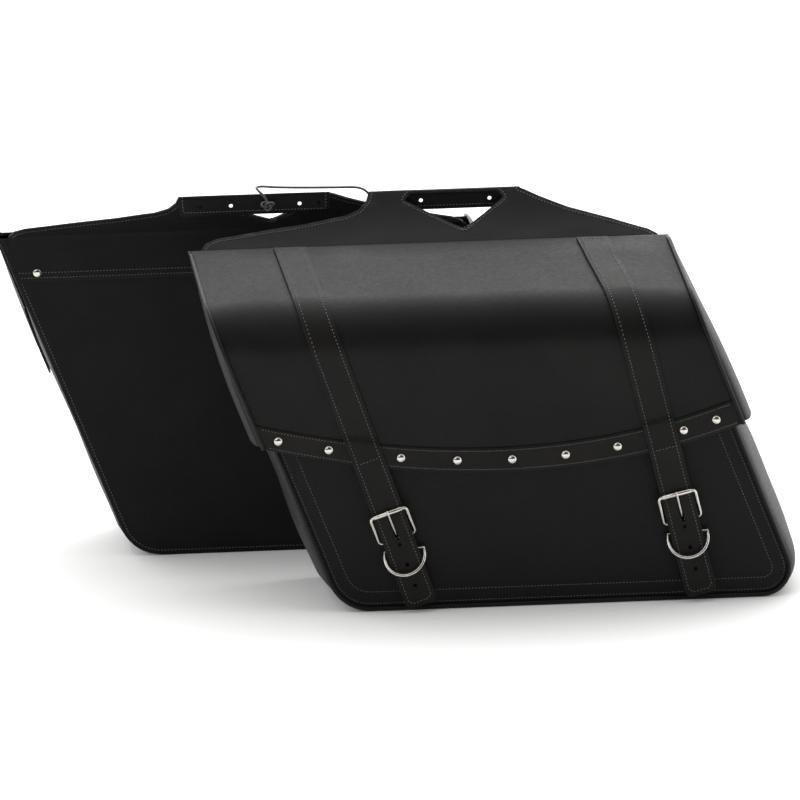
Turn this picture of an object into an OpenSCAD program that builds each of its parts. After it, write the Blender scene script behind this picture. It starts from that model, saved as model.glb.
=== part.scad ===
// Throw-over saddlebag set for a motorcycle: a left bag and a right bag, mirror images,
// joined over the rear fender by a two-part laced yoke.
// X runs along the motorcycle (+X to the rear), +Y to its right side, Z up.
// The origin is at the middle of the set's footprint, on the floor that the bags stand on.

/* [Bag] */
// Length of the front panel along the floor
bag_length = 482; // [450:1:500]
// Height of the back panel
bag_height = 350; // [335:1:365]
// Depth of the bag body from back panel to front panel
bag_depth = 147; // [140:1:155]
// Lean of the bag's ends from vertical, in degrees
slant = 20.5; // [18:0.5:22]
// How much wider the back panel is than the front panel at each end
flare = 6; // [4:0.5:6]
// Thickness of the leather panels
panel_t = 3; // [2.5:0.5:3]
// Thickness of the leather gusset
gusset_t = 2.5; // [2:0.5:3]
// Thickness of the stiffener boards
board_t = 2; // [1.5:0.5:2.5]
// Outside radius of the panel's obtuse bottom corner
corner_obtuse = 46; // [35:1:50]
// Outside radius of the panel's acute bottom corner
corner_acute = 30; // [24:1:34]
// Diameter of the piping
piping_d = 4.4; // [3.6:0.2:4.6]

/* [Lid] */
// Distance of the lid's outer front face from the bag's inner face
lid_reach = 160; // [158:1:170]
// Fall of the lid's top towards the front, in degrees
lid_fall = 15; // [13:1:18]
// Outside radius of the lid's shoulder
shoulder_r = 50; // [40:1:54]
// Overhang of the lid past the front panel at each end
lid_overhang = 10; // [10:0.5:14]
// Height of the lid's lower edge at its ends
lid_edge_z = 185; // [180:1:188]
// How much higher the lid's lower edge is at its rear end than at its front end
lid_edge_rise = 9; // [0:1:12]
// How far the middle of the lid's lower edge sags below its ends
lid_sag = 38; // [25:1:44]
// Width of the trim band along the lid's lower edge
band_w = 26; // [22:1:30]
// Diameter of the dome studs
stud_d = 9.5; // [8:0.5:11]

/* [Straps] */
// Width of the straps
strap_w = 33; // [31:1:34]
// Thickness of the straps
strap_t = 2.8; // [2.4:0.2:2.8]
// Distance of the first strap from the front panel's leading edge, at the floor
strap_front_x = 87; // [84:1:94]
// Lean of the first strap from vertical, in degrees
strap_front_lean = 18.5; // [17:0.5:20.5]
// How far up the first strap its buckle's back bar is
buckle_front_up = 83; // [80:1:86]
// Distance of the second strap from the front panel's leading edge, at the floor
strap_rear_x = 376; // [370:1:380]
// Lean of the second strap from vertical, in degrees
strap_rear_lean = 13; // [12:0.5:16]
// How far up the second strap its buckle's back bar is
buckle_rear_up = 89; // [84:1:90]
// Pitch of the strap holes
hole_pitch = 23.5; // [23:0.5:24]
// Diameter of the buckle's and the D-ring's wire
wire_d = 3.8; // [3.4:0.2:3.8]
// Swing of the D-rings out of the strap's plane at rest, in degrees
ring_tilt = 32; // [32:1:40]

/* [Yoke] */
// Clear width between the two back panels, for the fender
fender_gap = 110; // [106:1:120]
// How far the right bag stands ahead of the left one, with the lacing slack
lacing_offset = 203; // [180:1:210]
// Height of the yoke's crest
crest_z = 401; // [397:1:404]
// Width of the V window in each half of the yoke
window_w = 104; // [90:1:108]
// Diameter of the lace
lace_d = 2.6; // [2.2:0.2:3]

/* [Hidden] */
$fn = 40;

leather = "#232222";
board = "#2e2e2e";
nickel = "#c9c7c2";

lean = tan(slant);
slope_gap = 1 / cos(slant);

// ---- Bag outline: leaning sides, two rounded bottom corners, open top ----
// e: how far the sides stand out; t: how far the outline is drawn in; h: height of its top
function arc_points(cx, cz, r, a0, a1, n) =
  [for (i = [0:n]) let (a = a0 + (a1 - a0) * i / n) [cx + r * cos(a), cz + r * sin(a)]];
function side_x(z, e, t) = -lean * z - e + t * slope_gap;
function far_side_x(z, e, t) = bag_length - lean * z + e - t * slope_gap;
function bag_outline(e, t, h) =
  let (r1 = corner_obtuse - t, r2 = corner_acute - t)
  concat(
    [[side_x(h, e, t), h]],
    arc_points(side_x(t + r1, e, t) + r1 * slope_gap, t + r1, r1, 180 + slant, 270, 7),
    arc_points(far_side_x(t + r2, e, t) - r2 * slope_gap, t + r2, r2, 270, 360 + slant, 8),
    [[far_side_x(h, e, t), h]]);
// The left bag's place along X, with the set's box centred on the origin
reach_rear = max([for (p = bag_outline(flare, 0, bag_height)) p[0]]);
reach_front = side_x(bag_height + 6, lid_overhang, 0);
left_x = -(reach_rear + reach_front - lacing_offset) / 2;
function at_y(points, y) = [for (p = points) [p[0], y, p[1]]];

// ---- Lid profile in Y and Z: d is the distance outside the lid's outer face ----
lid_back_y = -5.6;
lid_back_z = bag_height + 6;
top_run = (lid_reach + lid_back_y - shoulder_r * (1 - sin(lid_fall))) / cos(lid_fall);
shoulder_cy = -lid_reach + shoulder_r;
shoulder_cz = lid_back_z - top_run * sin(lid_fall) - shoulder_r * cos(lid_fall);
function lid_profile(d, low_z) = concat(
  [[lid_back_y - d * sin(lid_fall), lid_back_z + d * cos(lid_fall)]],
  arc_points(shoulder_cy, shoulder_cz, shoulder_r + d, 90 + lid_fall, 180, 10),
  [[-lid_reach - d, low_z]]);
function reversed(list) = [for (i = [len(list) - 1:-1:0]) list[i]];
// Height of the lid's lower edge at a share u of its length
function lid_edge(u) = lid_edge_z + lid_edge_rise * (u - 0.5) - lid_sag * (1 - pow(2 * u - 1, 2));
function lid_edge_arc(rise) = [for (i = [0:24])
  let (u = i / 24, z = lid_edge(u) + rise)
  [side_x(z, lid_overhang, 0) + u * (bag_length + 2 * lid_overhang), z]];

// ---- Straps, in a frame with X across the strap, Z along it and the same Y ----
strap_back_y = -lid_reach - 0.1;
strap_front_y = strap_back_y - strap_t;
tail_top = 164;
flex_gap = 0.8;
tail_tip = 8.5;
// Heights of the fittings above the buckle's back bar, along the strap
roller_rise = 31;
ring_rise = -14;
socket_rise = -7;
hole_rise = -5;
heel_y = -156.4;
frame_half_w = strap_w / 2 + 1.2 + wire_d / 2;
roller_d = 5.2;
roller_y = strap_front_y - 0.4 - roller_d / 2;
prong_d = 2.6;
prong_y = roller_y - roller_d / 2 - prong_d / 2 - 1.6;
hole_d = 4;
slot_low = 2;
slot_high = 19;
crest_y = fender_gap / 2 - 4.2;
window_x = 138;
right_window_shift = 4;
yoke_t = 2.5;

// A solid through a list of rings that have the same number of points
module skin(rings) {
  m = len(rings[0]);
  n = len(rings);
  faces = concat(
    [[for (j = [0:m - 1]) j]],
    [for (i = [0:n - 2]) for (j = [0:m - 1])
      let (k = (j + 1) % m) [i * m + k, i * m + j, (i + 1) * m + j, (i + 1) * m + k]],
    [[for (j = [m - 1:-1:0]) (n - 1) * m + j]]);
  polyhedron([for (r = rings) each r], faces, convexity = 6);
}

function unit(v) = v / norm(v);
function direction(path, i) =
  unit(path[min(i + 1, len(path) - 1)] - path[max(i - 1, 0)]);
// A tube of diameter d along a path; side is a vector that no part of the path runs along
module tube(path, d, side, sides = 8) {
  skin([for (i = [0:len(path) - 1])
    let (t = direction(path, i), u = unit(cross(t, side)), w = cross(u, t))
    [for (j = [0:sides - 1]) let (a = 360 * j / sides) path[i] + d / 2 * (cos(a) * u + sin(a) * w)]]);
}

module front_plate(y, t) { translate([0, y, 0]) rotate([90, 0, 0]) linear_extrude(t) children(); }
module side_prism() {
  translate([-400, 0, 0]) rotate([90, 0, 90]) linear_extrude(1200) children();
}
module strap_frame(x) {
  translate([x, 0, 0]) rotate([0, x == strap_front_x ? -strap_front_lean : -strap_rear_lean, 0])
    children();
}
// The buckle's back bar, in the strap's frame
module heel_frame(x) {
  strap_frame(x) translate([0, 0, x == strap_front_x ? buckle_front_up : buckle_rear_up]) children();
}
module each_strap() { for (x = [strap_front_x, strap_rear_x]) strap_frame(x) children(); }
module each_heel() { for (x = [strap_front_x, strap_rear_x]) heel_frame(x) children(); }
module on_left() { translate([left_x, -fender_gap / 2, 0]) children(); }
module on_right() {
  translate([left_x - lacing_offset, fender_gap / 2, 0]) mirror([0, 1, 0]) children();
}

// ---- Body of the bag ----
module back_panel() {
  color(leather) front_plate(0, panel_t) polygon(bag_outline(flare, 0, bag_height));
}

module stiffener_boards() {
  color(board) {
    front_plate(-panel_t - 0.1, board_t) polygon(bag_outline(flare, 6, bag_height - 18));
    front_plate(-bag_depth + panel_t + 0.1 + board_t, board_t) polygon(bag_outline(0, 6, 268));
    translate([60, -bag_depth + 12, gusset_t + 0.1]) cube([bag_length - 120, bag_depth - 24, board_t]);
  }
}

module front_panel() {
  color(leather) front_plate(-bag_depth + panel_t, panel_t) polygon(bag_outline(0, 0, 285));
}

module gusset() {
  front_y = -bag_depth + panel_t;
  a = at_y(bag_outline(0, 0, 285), front_y);
  b = at_y(bag_outline(flare, 0, bag_height - 5), -panel_t);
  c = at_y(bag_outline(flare, gusset_t, bag_height - 5), -panel_t);
  d = at_y(bag_outline(0, gusset_t, 285), front_y);
  color(leather) skin([for (i = [0:len(a) - 1]) [a[i], b[i], c[i], d[i]]]);
}

module front_piping() {
  inset = piping_d / 2 + 0.1;
  color(leather) tube(at_y(bag_outline(0, inset, 280), -bag_depth - inset), piping_d, [0, 1, 0]);
}

// A patch behind each strap, sewn to the front panel, that carries the press stud
module anchor_patches() {
  color(leather) each_heel() front_plate(-bag_depth - 0.05, 1.5)
    translate([-11, -40]) square([22, 62]);
}

module press_studs() {
  color(nickel) each_heel() translate([0, -bag_depth - 1.6, socket_rise]) rotate([90, 0, 0]) {
    cylinder(d = 12, h = 1);
    cylinder(d = 4, h = 3.2);
  }
}

// ---- Lid ----
module lid_front_view() {
  polygon(concat([[side_x(400, lid_overhang, 0), 400]], lid_edge_arc(0),
    [[far_side_x(400, lid_overhang, 0), 400]]));
}

module lid_panel() {
  color(leather) intersection() {
    side_prism() polygon(concat(lid_profile(0, 100), reversed(lid_profile(-panel_t, 100))));
    front_plate(0, 400) lid_front_view();
  }
}

module lid_ends() {
  wall = gusset_t * slope_gap;
  color(leather) for (end = [0, 1]) intersection() {
    side_prism() polygon(concat(lid_profile(-panel_t - 0.05, lid_edge_z),
      [[-70, 196], [-16, 262], [-9, 300]]));
    front_plate(0, 400) translate([end * (bag_length + 2 * lid_overhang - wall), 0])
      polygon([[side_x(100, lid_overhang, 0), 100], [side_x(100, lid_overhang, 0) + wall, 100],
        [side_x(400, lid_overhang, 0) + wall, 400], [side_x(400, lid_overhang, 0), 400]]);
  }
}

module lid_piping() {
  inset = piping_d / 2 + 0.1;
  profile = lid_profile(inset, lid_edge_z + 2);
  color(leather) for (end = [0, 1]) tube(
    [for (p = profile) [end == 0 ? side_x(p[1], lid_overhang, inset)
      : far_side_x(p[1], lid_overhang, inset), p[0], p[1]]], piping_d, [1, 0, 0]);
}

module lid_band() {
  color(leather) difference() {
    front_plate(-lid_reach - 0.05, 1.5) difference() {
      polygon(concat([for (p = lid_edge_arc(0)) p], reversed(lid_edge_arc(band_w))));
      for (end = [0, 1]) translate([end == 0 ? side_x(0, lid_overhang + 20, 0)
        : far_side_x(0, lid_overhang - 6, 0), 0])
        polygon([[0, 0], [26, 0], [26 - lean * 300, 300], [-lean * 300, 300]]);
    }
    each_strap() translate([-strap_w / 2 - 0.3, -300, 0]) cube([strap_w + 0.6, 300, 400]);
  }
}

// Places along the lid's edge, as fractions of its length
stud_places = concat([0.04, 0.135], [for (i = [0:4]) 0.274 + i * 0.112], [0.869, 0.944]);
module lid_studs() {
  color(nickel) for (u = stud_places) {
    z = lid_edge(u) + band_w / 2;
    x = side_x(z, lid_overhang, 0) + u * (bag_length + 2 * lid_overhang);
    translate([x, -lid_reach - 1.6, z]) rotate([90, 0, 0]) dome(stud_d, 3);
  }
}
// A shallow dome of diameter d and height h on the plane Z = 0
module dome(d, h) {
  r = (d * d / 4 + h * h) / (2 * h);
  intersection() {
    translate([0, 0, h - r]) sphere(r);
    cylinder(d = d, h = h);
  }
}

// The sewn part of both straps, which leans with the bag and follows the lid's profile
module lid_straps() {
  color(leather) intersection() {
    side_prism() polygon(concat(lid_profile(0.1 + strap_t, 100), reversed(lid_profile(0.1, 100))));
    each_strap() translate([-strap_w / 2, -300, tail_top + flex_gap]) cube([strap_w, 290, 300]);
  }
}

// ---- Strap tails and their hardware, in the strap's frame ----
module strap_tail(x) {
  color(leather) difference() {
    strap_frame(x) front_plate(strap_back_y, strap_t) {
      translate([-strap_w / 2, tail_tip + 5]) square([strap_w, tail_top - flex_gap - tail_tip - 5]);
      translate([-strap_w / 2 + 5, tail_tip]) square([strap_w - 10, 6]);
      for (s = [-1, 1]) translate([s * (strap_w / 2 - 5), tail_tip + 5]) circle(5);
    }
    heel_frame(x) {
      for (i = [0:2]) translate([0, 0, hole_rise - i * hole_pitch]) rotate([90, 0, 0])
        cylinder(d = hole_d, h = 400);
      translate([-hole_d / 2, -300, slot_low]) cube([hole_d, 300, slot_high - slot_low]);
      for (z = [slot_low, slot_high]) translate([0, 0, z]) rotate([90, 0, 0])
        cylinder(d = hole_d, h = 400);
    }
  }
}

module rod(a, b, d) {
  v = b - a;
  translate(a) rotate([0, acos(v[2] / norm(v)), atan2(v[1], v[0])]) cylinder(d = d, h = norm(v));
}

// Wire frame: the roller's bar is in front of the strap and the heel bar is behind it
bar_d = 2.8;
module buckle(x) {
  corners = [[-frame_half_w, roller_y, roller_rise], [frame_half_w, roller_y, roller_rise],
    [frame_half_w, heel_y, 0], [-frame_half_w, heel_y, 0]];
  color(nickel) heel_frame(x) {
    rod(corners[0], corners[1], bar_d);
    rod(corners[1], corners[2], wire_d);
    rod(corners[2], corners[3], wire_d);
    rod(corners[3], corners[0], wire_d);
    for (c = corners) translate(c) sphere(d = wire_d + 0.5);
  }
}

module roller(x) {
  color(nickel) heel_frame(x) translate([-strap_w / 2, roller_y, roller_rise]) rotate([0, 90, 0])
    difference() {
      cylinder(d = roller_d, h = strap_w);
      translate([0, 0, -1]) cylinder(d = bar_d + 0.1, h = strap_w + 2);
    }
}

module prong(x) {
  color(nickel) heel_frame(x) difference() {
    union() {
      translate([-1.6, heel_y, 0]) rotate([0, 90, 0]) cylinder(d = 6.4, h = 3.2);
      rod([0, heel_y, 0], [0, prong_y, roller_rise + 2], prong_d);
    }
    translate([-10, heel_y, 0]) rotate([0, 90, 0]) cylinder(d = wire_d + 0.1, h = 20);
  }
}

// D-ring: straight bar held behind the strap, bow round its front as a keeper
ring_half_w = 21;
ring_leg = 6;
module d_ring(x) {
  color(nickel) heel_frame(x) translate([0, heel_y, ring_rise]) rotate([-ring_tilt, 0, 0]) {
    rod([-ring_half_w, 0, 0], [ring_half_w, 0, 0], wire_d - 0.2);
    for (s = [-1, 1]) {
      rod([s * ring_half_w, 0, 0], [s * ring_half_w, 0, -ring_leg], wire_d - 0.2);
      translate([s * ring_half_w, 0, 0]) sphere(d = wire_d - 0.2);
    }
    translate([0, 0, -ring_leg]) rotate([90, 0, 0]) rotate([0, 0, 180])
      rotate_extrude(angle = 180) translate([ring_half_w, 0]) circle(d = wire_d - 0.2);
  }
}

// Leather loop that holds the buckle's heel bar and the D-ring's bar
loop_t = 1.4;
module chape(x) {
  inner = wire_d / 2 + 0.3;
  color(leather) heel_frame(x) difference() {
    translate([-13, heel_y, 0]) rotate([90, 0, 90]) linear_extrude(26) difference() {
      chape_outline(inner + loop_t);
      chape_outline(inner);
    }
    translate([-3, heel_y - 10, -8]) cube([6, 20, 20]);
  }
}
module chape_outline(r) {
  circle(r);
  translate([0, ring_rise]) circle(r);
  translate([-r, ring_rise]) square([2 * r, -ring_rise]);
}

module press_socket(x) {
  back_y = heel_y + wire_d / 2 + 0.3 + loop_t + 0.05;
  color(nickel) heel_frame(x) translate([0, back_y, socket_rise]) rotate([-90, 0, 0]) difference() {
    cylinder(d = 14, h = 2.2);
    translate([0, 0, 0.6]) cylinder(d = 6.4, h = 3);
  }
}

// ---- Yoke ----
// Half outline seen from above: distance from the window's middle, share of the way to the crest
yoke_slope = [[-268, 0], [-255, 0.22], [-198, 0.38], [-156, 0.48], [-114, 0.6], [-93, 0.78],
  [-89, 1], [70, 1], [90, 0.82], [119, 0.62], [163, 0.39],
  [200, 0.16], [212, 0]];
module yoke(mid_x) {
  band = [[0.2, bag_height - 47], [0.2, bag_height + 3], [crest_y, crest_z],
    [crest_y + yoke_t, crest_z - 1.5], [crest_y + yoke_t, crest_z - 22], [crest_y, crest_z - 22],
    [crest_y, crest_z - 3.2], [0.2 + yoke_t, bag_height + 1.4], [0.2 + yoke_t, bag_height - 47]];
  color(leather) difference() {
    intersection() {
      side_prism() polygon(band);
      union() {
        translate([0, 5, 0]) front_plate(0, 10) polygon([
          [side_x(bag_height - 60, flare - 4, 0), bag_height - 60],
          [far_side_x(bag_height - 60, flare - 4, 0), bag_height - 60],
          [far_side_x(bag_height + 4, flare - 4, 0), bag_height + 4],
          [side_x(bag_height + 4, flare - 4, 0), bag_height + 4]]);
        translate([0, 0, bag_height - 1]) linear_extrude(100)
          polygon([for (p = yoke_slope) [mid_x + p[0], 4 + p[1] * (crest_y - 4)]]);
        translate([mid_x - 89, crest_y - 3, crest_z - 30]) cube([159, 8, 60]);
      }
    }
    window(mid_x);
    for (s = [-66, -34, 38, 58]) translate([mid_x + s, crest_y - 5, crest_z - 12])
      rotate([-90, 0, 0]) cylinder(d = 4.2, h = 12);
  }
}
module window(mid_x) {
  far_y = crest_y - 3.5;
  translate([mid_x, 0, bag_height - 10]) linear_extrude(100) {
    polygon([[-window_w / 2, far_y - 6], [-window_w / 2 + 6, far_y], [window_w / 2 - 6, far_y],
      [window_w / 2, far_y - 6], [16, 20], [8, 16], [2, 20]]);
  }
}

module yoke_rivets() {
  color(nickel) for (end = [0, 1]) {
    z = bag_height - 37;
    x = end == 0 ? side_x(z, flare, 0) + 26 : far_side_x(z, flare, 0) - 26;
    translate([x, 0.2 + yoke_t + 0.05, z]) rotate([-90, 0, 0]) dome(9, 2.6);
  }
}

// ---- Lace: from a knot on the right half's strip to the left half's strip ----
lace_route = [[-120, -0.8, 389], [-122, -0.8, 394], [-125, -0.6, 399], [-129, 0.6, 403],
  [-131.5, 3, 405.6], [-131.5, 6, 406.6], [-128.5, 8.2, 406.9], [-123, 8.2, 406.8],
  [-114, 5.6, 406.5], [-100, 3, 406.2], [-78, 0.5, 405.8], [-48, -1, 405.3], [-30, -1, 404.8],
  [-21, -0.3, 402.5], [-16, 0, 398.5], [-13, 0, 394], [-12, 0, 389]];
module lace() {
  color(leather) tube(lace_route, lace_d, [0, 0.6, 1]);
}

on_left() back_panel();  // left_back_panel
on_left() stiffener_boards();  // left_stiffener_boards
on_left() front_panel();  // left_front_panel
on_left() gusset();  // left_gusset
on_left() front_piping();  // left_front_piping
on_left() lid_panel();  // left_lid_panel
on_left() lid_ends();  // left_lid_ends
on_left() lid_piping();  // left_lid_piping
on_left() lid_band();  // left_lid_band
on_left() lid_studs();  // left_lid_studs
on_left() lid_straps();  // left_lid_straps
on_left() anchor_patches();  // left_anchor_patches
on_left() press_studs();  // left_press_studs
on_left() strap_tail(strap_front_x);  // left_front_strap_tail
on_left() buckle(strap_front_x);  // left_front_buckle
on_left() prong(strap_front_x);  // left_front_prong
on_left() roller(strap_front_x);  // left_front_roller
on_left() d_ring(strap_front_x);  // left_front_d_ring
on_left() chape(strap_front_x);  // left_front_chape
on_left() press_socket(strap_front_x);  // left_front_press_socket
on_left() strap_tail(strap_rear_x);  // left_rear_strap_tail
on_left() buckle(strap_rear_x);  // left_rear_buckle
on_left() prong(strap_rear_x);  // left_rear_prong
on_left() roller(strap_rear_x);  // left_rear_roller
on_left() d_ring(strap_rear_x);  // left_rear_d_ring
on_left() chape(strap_rear_x);  // left_rear_chape
on_left() press_socket(strap_rear_x);  // left_rear_press_socket
on_left() yoke(window_x);  // left_yoke
on_left() yoke_rivets();  // left_yoke_rivets
on_right() back_panel();  // right_back_panel
on_right() stiffener_boards();  // right_stiffener_boards
on_right() front_panel();  // right_front_panel
on_right() gusset();  // right_gusset
on_right() front_piping();  // right_front_piping
on_right() lid_panel();  // right_lid_panel
on_right() lid_ends();  // right_lid_ends
on_right() lid_piping();  // right_lid_piping
on_right() lid_band();  // right_lid_band
on_right() lid_studs();  // right_lid_studs
on_right() lid_straps();  // right_lid_straps
on_right() anchor_patches();  // right_anchor_patches
on_right() press_studs();  // right_press_studs
on_right() strap_tail(strap_front_x);  // right_front_strap_tail
on_right() buckle(strap_front_x);  // right_front_buckle
on_right() prong(strap_front_x);  // right_front_prong
on_right() roller(strap_front_x);  // right_front_roller
on_right() d_ring(strap_front_x);  // right_front_d_ring
on_right() chape(strap_front_x);  // right_front_chape
on_right() press_socket(strap_front_x);  // right_front_press_socket
on_right() strap_tail(strap_rear_x);  // right_rear_strap_tail
on_right() buckle(strap_rear_x);  // right_rear_buckle
on_right() prong(strap_rear_x);  // right_rear_prong
on_right() roller(strap_rear_x);  // right_rear_roller
on_right() d_ring(strap_rear_x);  // right_rear_d_ring
on_right() chape(strap_rear_x);  // right_rear_chape
on_right() press_socket(strap_rear_x);  // right_rear_press_socket
on_right() yoke(window_x + right_window_shift);  // right_yoke
on_right() yoke_rivets();  // right_yoke_rivets
lace();
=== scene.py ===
# %% [markdown]
# # A throw-over saddlebag set
# Two slanted leather bags hang on either side of a motorcycle's rear fender, joined by a laced yoke.
# Each bag is sewn from flat leather: a back panel, a front panel, and a gusset that makes the ends and the
# bottom. A lid is bent over the shoulder of the bag and held by two buckled straps.
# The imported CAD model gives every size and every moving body. Here each leather piece gets its real
# softness, its grain and its stitches, and each metal fitting its rounded wire and its shine.

import math

import bmesh
import bpy
from mathutils import Matrix, Vector, noise


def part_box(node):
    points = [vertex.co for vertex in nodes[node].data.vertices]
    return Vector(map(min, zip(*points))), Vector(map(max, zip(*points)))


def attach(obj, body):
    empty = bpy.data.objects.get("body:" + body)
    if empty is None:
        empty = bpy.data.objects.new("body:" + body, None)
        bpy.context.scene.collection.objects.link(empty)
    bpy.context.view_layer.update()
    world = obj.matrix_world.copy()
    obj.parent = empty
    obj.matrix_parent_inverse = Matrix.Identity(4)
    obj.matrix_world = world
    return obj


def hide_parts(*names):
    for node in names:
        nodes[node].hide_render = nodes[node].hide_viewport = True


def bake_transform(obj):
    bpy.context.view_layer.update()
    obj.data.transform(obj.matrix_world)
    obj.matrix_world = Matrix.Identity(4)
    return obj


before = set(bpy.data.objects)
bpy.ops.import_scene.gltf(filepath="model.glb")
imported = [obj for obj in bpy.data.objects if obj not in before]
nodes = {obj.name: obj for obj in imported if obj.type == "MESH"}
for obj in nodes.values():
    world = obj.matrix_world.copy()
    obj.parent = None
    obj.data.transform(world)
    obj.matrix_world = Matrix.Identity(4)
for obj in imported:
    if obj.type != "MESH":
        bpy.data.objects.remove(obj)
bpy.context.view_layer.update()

# %% [markdown]
# ## Sizes
# The bags are drawn in millimetres, in a frame of their own: X along the bag from the front panel's bottom
# corner, Y from the back panel (0) out to the front panel (negative), and Z up. The few driving sizes
# are read from the CAD nodes' boxes, so that the looks stay with the frame if it changes.

# %% Driving sizes, in millimetres
MM = 0.001
SIDES = ("left", "right")
STRAPS = ("front", "rear")


def node_size(node, axis):
    low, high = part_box(node)
    return (high[axis] - low[axis]) / MM


slant = math.radians(20.5)
lean = math.tan(slant)
slope_gap = 1 / math.cos(slant)
bag_height = node_size("left_back_panel", 2)
front_height = node_size("left_front_panel", 2)
bag_length = 482.0
bag_depth = 147.0
flare = 6.0
corner_obtuse = 46.0
corner_acute = 30.0
lid_reach = 160.0
lid_fall = math.radians(15)
shoulder_r = 50.0
lid_overhang = 10.0
lid_edge_z = 185.0
lid_sag = 38.0
lid_edge_rise = 9.0
band_w = 26.0
strap_w = 33.0
strap_t = 2.8
strap_x = {"front": 87.0, "rear": 376.0}
strap_slant = {"front": math.radians(18.5), "rear": math.radians(13.0)}
buckle_up = {"front": 83.0, "rear": 89.0}
piping_r = 2.2
panel_wall = 2.8
gap_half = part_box("right_back_panel")[0].y / MM
origin_x = {
    side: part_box(f"{side}_back_panel")[0].x / MM + lean * bag_height + flare for side in SIDES
}
print("bag origins along X, mm:", {k: round(v, 2) for k, v in origin_x.items()})


def bag_to_world(side):
    """The matrix from one bag's own millimetres to the row frame. The right bag is mirrored in Y."""
    turn = -1 if side == "right" else 1
    move = Matrix.Translation((origin_x[side] * MM, -turn * gap_half * MM, 0))
    return move @ Matrix.Diagonal((MM, turn * MM, MM, 1))


# %% [markdown]
# ## The camera and the light
# A long lens from a few metres away keeps the bags' slanted sides nearly parallel, as a catalogue does.
# One large soft panel above and behind the lid draws the long highlight along its top, and two weaker ones
# stand in front and at the side. The room is bright behind the bags and dim in front, so that the lid's top
# shines and the fronts stay nearly black.

# %% Camera
camera_azimuth = math.radians(-2.84)
camera_elevation = math.radians(13.76)
camera_roll = math.radians(-1.43)
camera_distance = 8.23
aim = Vector((0.0128, 0.0, 0.1734))
lens_mm = 351.2


def aim_camera(camera, target, azimuth, elevation, roll, distance):
    back = Vector((
        math.sin(azimuth) * math.cos(elevation),
        -math.cos(azimuth) * math.cos(elevation),
        math.sin(elevation),
    ))
    camera.location = target + back * distance
    turn = back.to_track_quat("Z", "Y").to_matrix().to_4x4() @ Matrix.Rotation(roll, 4, "Z")
    camera.rotation_euler = turn.to_euler()


camera_data = bpy.data.cameras.new("camera")
camera_data.lens = lens_mm
camera_data.sensor_width = 36.0
camera_data.clip_end = 40.0
camera = bpy.data.objects.new("camera", camera_data)
bpy.context.scene.collection.objects.link(camera)
aim_camera(camera, aim, camera_azimuth, camera_elevation, camera_roll, camera_distance)
bpy.context.scene.camera = camera

# %% Lights and room
def area_light(name, place, target, size, watts):
    data = bpy.data.lights.new(name, "AREA")
    data.shape = "RECTANGLE"
    data.size, data.size_y = size
    data.energy = watts
    lamp = bpy.data.objects.new(name, data)
    bpy.context.scene.collection.objects.link(lamp)
    lamp.location = place
    lamp.rotation_euler = (Vector(place) - Vector(target)).to_track_quat("Z", "Y").to_euler()
    return lamp


area_light("top_panel", (-0.3, 0.9, 2.3), (0.0, -0.05, 0.3), (3.0, 2.0), 16)
area_light("front_panel", (-1.6, -2.4, 1.9), (0.0, 0.0, 0.2), (1.8, 1.4), 12)
area_light("side_panel", (2.3, -1.0, 0.9), (0.1, 0.0, 0.2), (0.8, 1.2), 4)

# %% A white studio wall behind, and a dim room in front
world = bpy.data.worlds.new("white_room")
bpy.context.scene.world = world
world.use_nodes = True
room = world.node_tree
direction = room.nodes.new("ShaderNodeTexCoord")
parts = room.nodes.new("ShaderNodeSeparateXYZ")
wall = room.nodes.new("ShaderNodeMapRange")
wall.inputs["From Min"].default_value = -0.8
wall.inputs["From Max"].default_value = 0.75
wall.inputs["To Min"].default_value = 0.05
wall.inputs["To Max"].default_value = 3.0
room.links.new(direction.outputs["Generated"], parts.inputs["Vector"])
room.links.new(parts.outputs["Y"], wall.inputs["Value"])
room.links.new(wall.outputs["Result"], room.nodes["Background"].inputs["Strength"])
room.nodes["Background"].inputs["Color"].default_value = (1, 1, 1, 1)
bpy.context.scene.view_settings.view_transform = "Standard"

# %% [markdown]
# ## Materials
# Each finish starts from what the real one is. The bags are chrome-tanned cowhide, drum-dyed black, with a
# thin pigment and a satin topcoat: nearly black, with a fine pebbled grain that breaks up the highlight.
# One function turns a hex colour to linear light, and one adds a node with its settings and links.

# %% Colour and node helpers
def linear(hex_colour):
    parts = [int(hex_colour[i:i + 2], 16) / 255 for i in (1, 3, 5)]
    return tuple(c / 12.92 if c <= 0.04045 else ((c + 0.055) / 1.055) ** 2.4 for c in parts) + (1.0,)


def add_node(tree, kind, settings=None, **inputs):
    """A shader node of that kind: settings are its properties, inputs are values or (node, output) links."""
    node = tree.nodes.new(kind)
    for key, value in (settings or {}).items():
        setattr(node, key, value)
    for key, value in inputs.items():
        socket = node.inputs[int(key[1:])] if key[0] == "_" and key[1:].isdigit() else node.inputs[
            key.replace("_", " ")]
        if isinstance(value, tuple) and len(value) == 2 and hasattr(value[0], "outputs"):
            tree.links.new(value[0].outputs[value[1]], socket)
        else:
            socket.default_value = value
    return node


def new_material(name):
    material = bpy.data.materials.new(name)
    material.use_nodes = True
    tree = material.node_tree
    tree.nodes.clear()
    shader = add_node(tree, "ShaderNodeBsdfPrincipled")
    output = add_node(tree, "ShaderNodeOutputMaterial")
    tree.links.new(shader.outputs["BSDF"], output.inputs["Surface"])
    return material, tree, shader


def ramp(tree, source, low, high, colour_low, colour_high):
    """A two-colour ramp over the source's values from low to high."""
    node = add_node(tree, "ShaderNodeMapRange", None, _0=source, _1=low, _2=high, _3=0.0, _4=1.0)
    mix = add_node(tree, "ShaderNodeMix", {"data_type": "RGBA"})
    tree.links.new(node.outputs[0], mix.inputs[0])
    mix.inputs[6].default_value = colour_low
    mix.inputs[7].default_value = colour_high
    return mix, 2


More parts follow.
